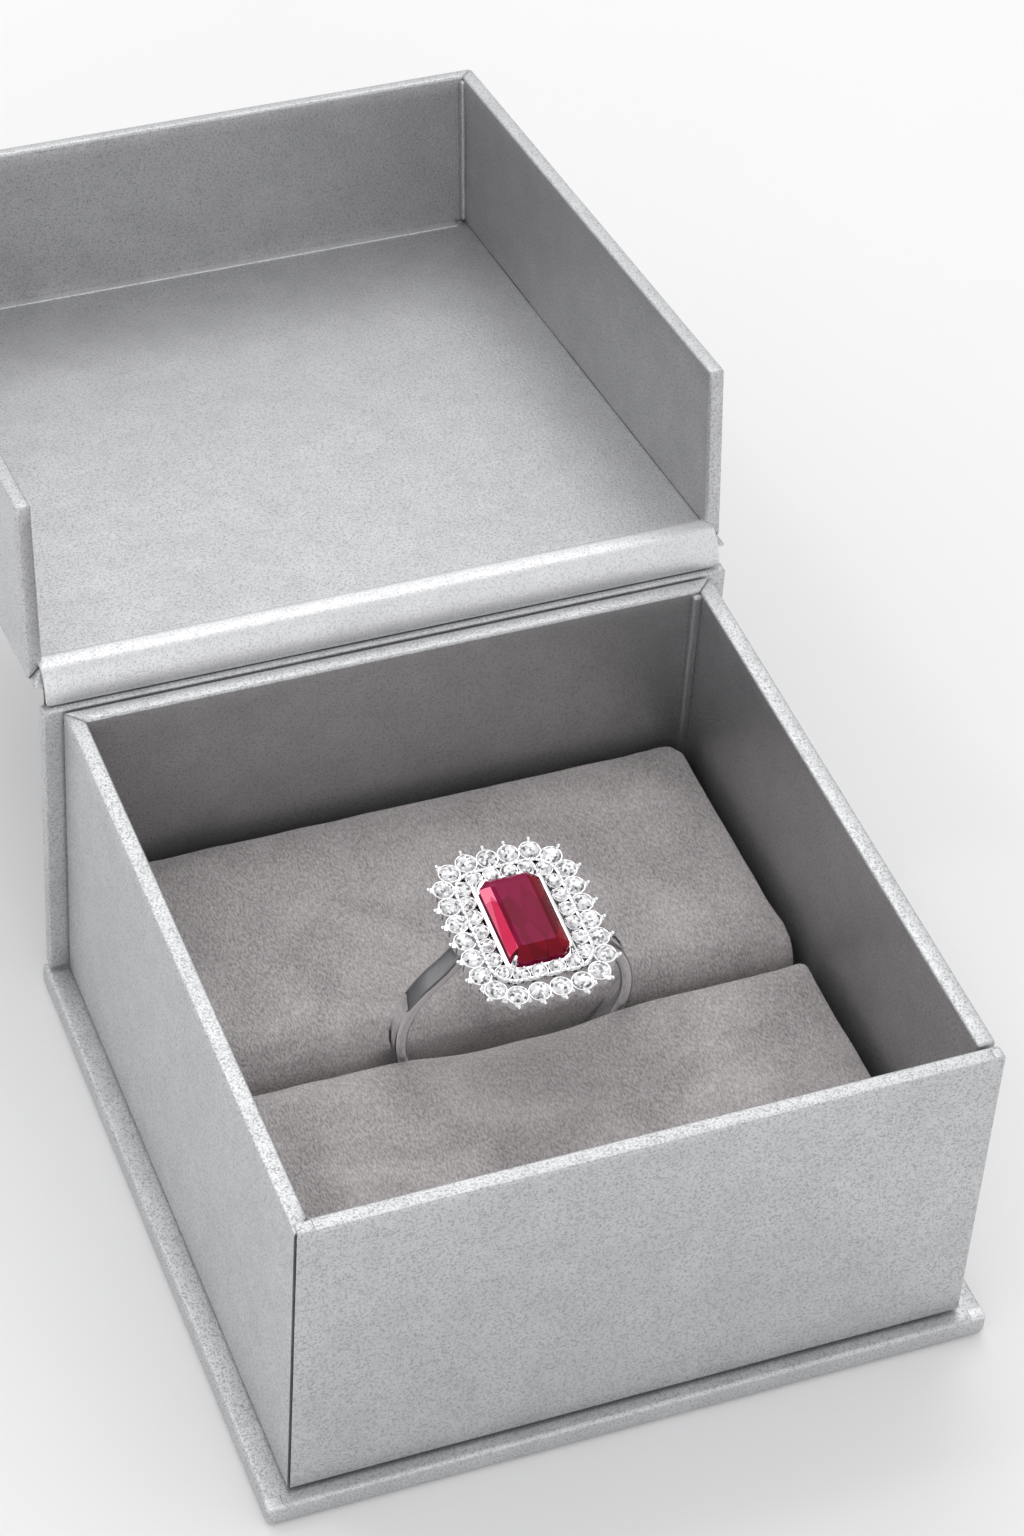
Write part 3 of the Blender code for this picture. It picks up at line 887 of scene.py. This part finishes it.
def rounded_path(half_x, half_y, corner, count):
    """Evenly spaced places round a rectangle with round corners, each with its outward angle."""
    straight_x, straight_y = 2 * (half_x - corner), 2 * (half_y - corner)
    quarter = math.pi * corner / 2
    total = 2 * (straight_x + straight_y) + 4 * quarter
    places = []
    for number in range(count):
        distance = (total * (number + 0.5) / count) % total
        turn = 0.0
        x, y = half_x, -straight_y / 2
        for length, is_corner in ((straight_y, 0), (quarter, 1), (straight_x, 0), (quarter, 1),
                                  (straight_y, 0), (quarter, 1), (straight_x, 0), (quarter, 1)):
            share = min(distance, length)
            if is_corner:
                angle = share / corner
                centre_x, centre_y = x - corner * math.cos(turn), y - corner * math.sin(turn)
                turn += angle
                x = centre_x + corner * math.cos(turn)
                y = centre_y + corner * math.sin(turn)
            else:
                x -= math.sin(turn) * share
                y += math.cos(turn) * share
            distance -= share
            if distance <= 1e-12:
                break
        places.append((x, y, turn))
    return places


def rail(name, half_x, half_y, corner, width, low, high, edge):
    """A flat frame with round corners, as wide as width and open in the middle."""
    bpy.ops.mesh.primitive_plane_add(size=1, location=(0, 0, low))
    obj = bpy.context.object
    obj.name = obj.data.name = name
    obj.scale = (2 * half_x, 2 * half_y, 1)
    settle(obj)
    edit(obj, "VERT")
    bpy.ops.mesh.select_all(action="SELECT")
    bevel(corner, 7, affect="VERTICES")
    bpy.ops.mesh.select_mode(type="FACE")
    bpy.ops.mesh.select_all(action="SELECT")
    bpy.ops.mesh.inset(thickness=width)
    bpy.ops.mesh.delete(type="FACE")
    bpy.ops.mesh.select_all(action="SELECT")
    bpy.ops.mesh.extrude_region_move(TRANSFORM_OT_translate={"value": (0, 0, high - low)})
    outward()
    if edge:
        pick(obj, "edges", lambda e: e.calc_face_angle(0.0) > math.radians(60))
        bevel(edge, 2)
    done()
    return obj


def round_stone(radius):
    """A small round brilliant: girdle, turned crown and table, and a pointed pavilion."""
    bpy.ops.mesh.primitive_cylinder_add(vertices=8, radius=radius, depth=0.08 * radius)
    obj = bpy.context.object
    edit(obj)
    pick(obj, "faces", lambda f: f.normal.z > 0.9)
    bpy.ops.mesh.extrude_region_move(TRANSFORM_OT_translate={"value": (0, 0, 0.18 * radius)})
    bpy.ops.transform.resize(value=(0.82, 0.82, 1), center_override=(0, 0, 0))
    bpy.ops.transform.rotate(value=math.radians(22.5), orient_axis="Z", center_override=(0, 0, 0))
    bpy.ops.mesh.extrude_region_move(TRANSFORM_OT_translate={"value": (0, 0, 0.14 * radius)})
    bpy.ops.transform.resize(value=(0.66, 0.66, 1), center_override=(0, 0, 0))
    bpy.ops.transform.rotate(value=math.radians(22.5), orient_axis="Z", center_override=(0, 0, 0))
    pick(obj, "faces", lambda f: f.normal.z < -0.9)
    bpy.ops.mesh.extrude_region_move(TRANSFORM_OT_translate={"value": (0, 0, -0.75 * radius)})
    bpy.ops.transform.resize(value=(0.08, 0.08, 1), center_override=(0, 0, 0))
    bpy.ops.mesh.select_all(action="SELECT")
    bpy.ops.mesh.quads_convert_to_tris()
    outward()
    done()
    return obj


def cup(radius, low, high):
    """The collar that a small stone sits in."""
    bpy.ops.mesh.primitive_cylinder_add(vertices=16, radius=radius, depth=high - low,
                                        location=(0, 0, (low + high) / 2))
    obj = settle(bpy.context.object)
    edit(obj)
    pick(obj, "faces", lambda f: f.normal.z > 0.9)
    bpy.ops.mesh.inset(thickness=radius * 0.14)
    bpy.ops.mesh.extrude_region_move(TRANSFORM_OT_translate={"value": (0, 0, (low - high) * 0.5)})
    bpy.ops.transform.resize(value=(0.6, 0.6, 1), center_override=(0, 0, 0))
    pick(obj, "edges", lambda e: middle(e).z > high - 1e-6)
    bevel(radius * 0.04, 1)
    done()
    return obj


def claw(length, thick, tip):
    """A tapered claw that stands outside its stone and bends in over it, along -X."""
    bpy.ops.mesh.primitive_cone_add(vertices=8, radius1=thick, radius2=thick * 0.85,
                                    depth=length * 0.6, location=(0, 0, -length * 0.3))
    obj = settle(bpy.context.object)
    edit(obj)
    pick(obj, "faces", lambda f: f.normal.z > 0.9)
    for step in range(3):
        bpy.ops.mesh.extrude_region_move(
            TRANSFORM_OT_translate={"value": (-tip * (0.2 + 0.16 * step), 0, length * 0.13)})
        bpy.ops.transform.resize(value=(0.84, 0.84, 1))
    bpy.ops.mesh.inset(thickness=thick * 0.2, depth=thick * 0.2)
    pick(obj, "faces", lambda f: f.normal.z < -0.9)
    bpy.ops.transform.resize(value=(0.7, 0.7, 1))
    outward()
    done()
    return obj


def point_claw(wide, reach, ball):
    """A claw that comes to a point outside its stone along +X, with a ball at the tip."""
    bpy.ops.mesh.primitive_cone_add(vertices=6, radius1=wide, radius2=ball * 0.7,
                                    depth=reach * 0.75, location=(reach * 0.62, 0, -0.08 * MM),
                                    rotation=(0, math.pi / 2, 0))
    cone = settle(bpy.context.object)
    cone.scale.z = 0.55
    settle(cone)
    tip = bead(ball)
    tip.location = (reach, 0, 0.02 * MM)
    settle(tip)
    return join("point_claw", [cone, tip])


def bead(radius):
    bpy.ops.mesh.primitive_ico_sphere_add(subdivisions=2, radius=radius)
    return bpy.context.object


def at(x, y, z, turn=0.0, tip=0.0):
    return (RING @ Matrix.Translation((x, y, z)) @ Matrix.Rotation(turn, 4, "Z")
            @ Matrix.Rotation(tip, 4, "Y"))


def make_band():
    """The band: an eased flat section spun round the finger, its shoulders drawn up to the head."""
    low, high = box_in(RING, "ring_band")
    width = high.y - low.y
    start = math.radians(SHOULDER_START_DEG)
    bpy.ops.mesh.primitive_plane_add(size=1, location=(0, 0, 0))
    obj = bpy.context.object
    obj.scale = (BAND_THICK, width, 1)
    settle(obj)
    edit(obj, "VERT")
    bpy.ops.mesh.select_all(action="SELECT")
    bevel(0.5 * MM, 5, affect="VERTICES")
    done()
    obj.matrix_world = (Matrix.Rotation(-start, 4, "Y")
                        @ Matrix.Translation((BAND_RADIUS - BAND_THICK / 2, 0, 0)))
    settle(obj)
    edit(obj)
    bpy.ops.mesh.select_all(action="SELECT")
    bpy.ops.mesh.spin(steps=96, angle=SPIN_SIGN * (math.pi + 2 * start), center=(0, 0, 0),
                      axis=(0, 1, 0))
    for side in (-1, 1):
        pick(obj, "faces", lambda f: len(f.verts) > 4 and middle(f).x * side > 0)
        for inward, rise in SHOULDER_STEPS:
            bpy.ops.mesh.extrude_region_move(
                TRANSFORM_OT_translate={"value": (side * inward * MM, 0, rise * MM)})
            bpy.ops.transform.resize(value=(1, 0.97, 1))
    bpy.ops.mesh.select_all(action="SELECT")
    bpy.ops.mesh.remove_doubles(threshold=1e-6)
    outward()

    def faces_out(face):
        centre = middle(face)
        radial = Vector((centre.x, 0, centre.z)).normalized()
        return len(face.verts) == 4 and face.normal.dot(radial) > 0.9

    pick(obj, "faces", faces_out)
    bpy.ops.mesh.inset(thickness=0.13 * MM, depth=-BAND_GROOVE)
    outward()
    done()
    return obj


def make_ring():
    finish_ring_piece("ring_band_polished", make_band(), WHITE_GOLD, "white_gold", "ring_band")
    make_head()


def finish_ring_piece(name, obj, material, slot, *nodes):
    obj.name = obj.data.name = name
    obj.matrix_world = RING
    settle(obj)
    smooth(obj, RING_SMOOTH_DEG)
    return dress(obj, material, "ring", slot, *nodes)


def make_head():
    inner_top, outer_top = GIRDLE - 0.1 * MM, GIRDLE - 0.3 * MM
    gallery = rail("gallery", 3.7 * MM, 5.4 * MM, 0.9 * MM, 0.7 * MM,
                   GIRDLE - 2.0 * MM, GIRDLE - 1.3 * MM, 0.15 * MM)
    finish_ring_piece("ring_gallery_polished", gallery, WHITE_GOLD, "white_gold", "ring_gallery")

    outer = rounded_path(*OUTER_STONES)
    inner = rounded_path(*INNER_STONES)
    outer_rail = rail("outer_rail", 5.65 * MM, 7.25 * MM, 3.3 * MM, 0.95 * MM,
                      GIRDLE - 1.2 * MM, GIRDLE - 0.8 * MM, 0.1 * MM)
    outer_rail.matrix_world = RING
    settle(outer_rail)
    cups = place_copies("outer_cups", cup(OUTER_CUP_RADIUS, -0.75 * MM, 0.0),
                        [at(x, y, outer_top, turn) for x, y, turn in outer])
    claws = place_copies("outer_claws", point_claw(0.66 * MM, 1.2 * MM, 0.2 * MM),
                         [at(x, y, outer_top - 0.1 * MM, turn) for x, y, turn in outer])
    outer_metal = join("outer_halo_polished", [outer_rail, cups, claws])
    smooth(outer_metal, RING_SMOOTH_DEG)
    dress(outer_metal, WHITE_GOLD, "ring", "white_gold", "outer_halo")

    inner_rail = rail("inner_rail", 4.36 * MM, 5.70 * MM, 2.1 * MM, 0.28 * MM,
                      GIRDLE - 1.0 * MM, inner_top + 0.12 * MM, 0.06 * MM)
    bezel = rail("bezel", 2.95 * MM, 4.7 * MM, 0.9 * MM, 0.75 * MM,
                 GIRDLE - 1.3 * MM, GIRDLE - 0.12 * MM, 0.06 * MM)
    for piece in (inner_rail, bezel):
        piece.matrix_world = RING
        settle(piece)
    cups = place_copies("inner_cups", cup(INNER_CUP_RADIUS, -0.7 * MM, 0.0),
                        [at(x, y, inner_top, turn) for x, y, turn in inner])
    grains = place_copies("milgrain", bead(0.12 * MM),
                          [at(x, y, inner_top + 0.12 * MM) for x, y, _ in rounded_path(*MILGRAIN)])
    between = rounded_path(*INNER_STONES[:3], 2 * INNER_STONES[3])[1::2]
    spots = [at(x + s * 0.5 * MM * math.cos(turn), y + s * 0.5 * MM * math.sin(turn),
                inner_top + 0.1 * MM) for x, y, turn in between for s in (-1, 1)]
    beads = place_copies("inner_beads", bead(0.15 * MM), spots)
    inner_metal = join("inner_halo_polished", [inner_rail, bezel, cups, grains, beads])
    smooth(inner_metal, RING_SMOOTH_DEG)
    dress(inner_metal, WHITE_GOLD, "ring", "white_gold", "inner_halo")

    outer_stones = place_copies("outer_halo_stones", round_stone(OUTER_STONE_RADIUS),
                                [at(x, y, outer_top + STONE_SEATED, turn) for x, y, turn in outer])
    inner_stones = place_copies("inner_halo_stones", round_stone(INNER_STONE_RADIUS),
                                [at(x, y, inner_top + STONE_SEATED, turn) for x, y, turn in inner])
    for stones in (outer_stones, inner_stones):
        dress(stones, WHITE_STONE, "ring", "white_gold")

    make_centre_stone()
    for sign_x, end in ((-1, "left"), (1, "right")):
        for sign_y, side in ((-1, "front"), (1, "rear")):
            prong = claw(2.1 * MM, 0.27 * MM, 0.3 * MM)
            turn = math.atan2(sign_y, sign_x)
            prong.matrix_world = Matrix.Translation(
                (sign_x * PRONG_X, sign_y * PRONG_Y, GIRDLE + 0.12 * MM)
            ) @ Matrix.Rotation(turn, 4, "Z")
            settle(prong)
            finish_ring_piece(f"prong_{side}_{end}_polished", prong, WHITE_GOLD, "white_gold",
                              f"prong_{side}_{end}")


def make_centre_stone():
    """The step-cut stone: a cut-cornered girdle with steps up to its table and down to its keel."""
    stone = block("centre_stone_cut", (-CENTRE_HALF_X, -CENTRE_HALF_Y, GIRDLE + 0.12 * MM),
                  (CENTRE_HALF_X, CENTRE_HALF_Y, GIRDLE + 0.26 * MM))
    edit(stone)
    pick(stone, "edges", lambda e: abs(e.verts[0].co.z - e.verts[1].co.z) > 0.05 * MM)
    bevel(CENTRE_CORNER, 1)
    pick(stone, "faces", lambda f: f.normal.z > 0.9)
    for inset, rise in CROWN_STEPS:
        bpy.ops.mesh.inset(thickness=inset * MM, depth=rise * MM)
    pick(stone, "faces", lambda f: f.normal.z < -0.9)
    for inset, drop in PAVILION_STEPS:
        bpy.ops.mesh.inset(thickness=inset * MM, depth=drop * MM)
    outward()
    done()
    stone.matrix_world = RING
    settle(stone)
    dress(stone, RED_STONE, "ring", "red_stone", "centre_stone")
    # Sloped facets facing the front or the sides get painted shade, and those leaning left get a
    # painted highlight.
    back = RING.to_3x3().inverted()
    for material, test in (
        (RED_PAINTED_SHADE, lambda n: 0.2 < n.z < 0.97 and (n.y < -0.1 or n.x > 0.1 or n.x < -0.6)),
        (RED_PAINTED_HIGHLIGHT, lambda n: 0.4 < n.z < 0.9 and n.x < -0.4 and abs(n.y) < 0.2),
    ):
        paint(stone, material, lambda f: test(back @ f.normal))


# ---------------------------------------------------------------- stage

def make_stage():
    bpy.ops.mesh.primitive_plane_add(size=6, location=(0, 0, -0.0002))
    floor = bpy.context.object
    floor.name = "floor"
    made, tree, shader, where = start_material("pale_floor", (0.86, 0.86, 0.865), Roughness=0.7)
    grain = node(tree, "TexNoise", {"Vector": where, "Scale": 40.0, "Detail": 3.0})
    tree.links.new(mix_colour(tree, grain.outputs["Fac"], (0.85, 0.85, 0.855),
                              (0.87, 0.87, 0.875)), shader.inputs["Base Color"])
    floor.data.materials.append(made)

    world = bpy.data.worlds.new("studio")
    bpy.context.scene.world = world
    world.use_nodes = True
    sky = world.node_tree.nodes["Background"]
    sky.inputs["Color"].default_value = (1.0, 1.0, 1.0, 1)
    sky.inputs["Strength"].default_value = 0.87
    for name, place, target, size, power in (
        ("overhead", (0.12, 0.55, 0.75), (0, 0.02, 0), 0.7, 1.9),
        ("front_left", (-0.25, -0.8, 0.3), (0, 0, 0.02), 0.5, 1.1),
        ("glint", (-0.3, 0.2, 0.6), (0, 0, 0.02), 0.07, 0.22),
    ):
        data = bpy.data.lights.new(name, "AREA")
        data.size = size
        data.energy = power
        light = bpy.data.objects.new(name, data)
        bpy.context.collection.objects.link(light)
        light.location = place
        light.rotation_euler = (Vector(target) - Vector(place)).to_track_quat("-Z", "Y").to_euler()


def make_camera():
    data = bpy.data.cameras.new("camera")
    data.sensor_width = 36.0
    data.lens = 101.7
    data.clip_start = 0.01
    camera = bpy.data.objects.new("camera", data)
    bpy.context.collection.objects.link(camera)
    camera.location = (-0.0963, -0.2181, 0.2667)
    camera.rotation_euler = Euler([math.radians(a) for a in (46.752, -2.989, -20.748)])
    bpy.context.scene.camera = camera
    bpy.context.scene.view_settings.view_transform = "Standard"


def dress_hidden_boards():
    """The tray's floor and the card under the pads keep their own shapes."""
    for name, material in (("tray_floor", SILVER_PAPER), ("insert_card", GREY_CARD)):
        obj = frame["nodes"][name]
        obj.data.materials.clear()
        obj.data.materials.append(material)


make_camera()
make_stage()
make_base()
make_tray()
make_lid()
make_folds()
make_hinge()
make_pads()
make_ring()
dress_hidden_boards()
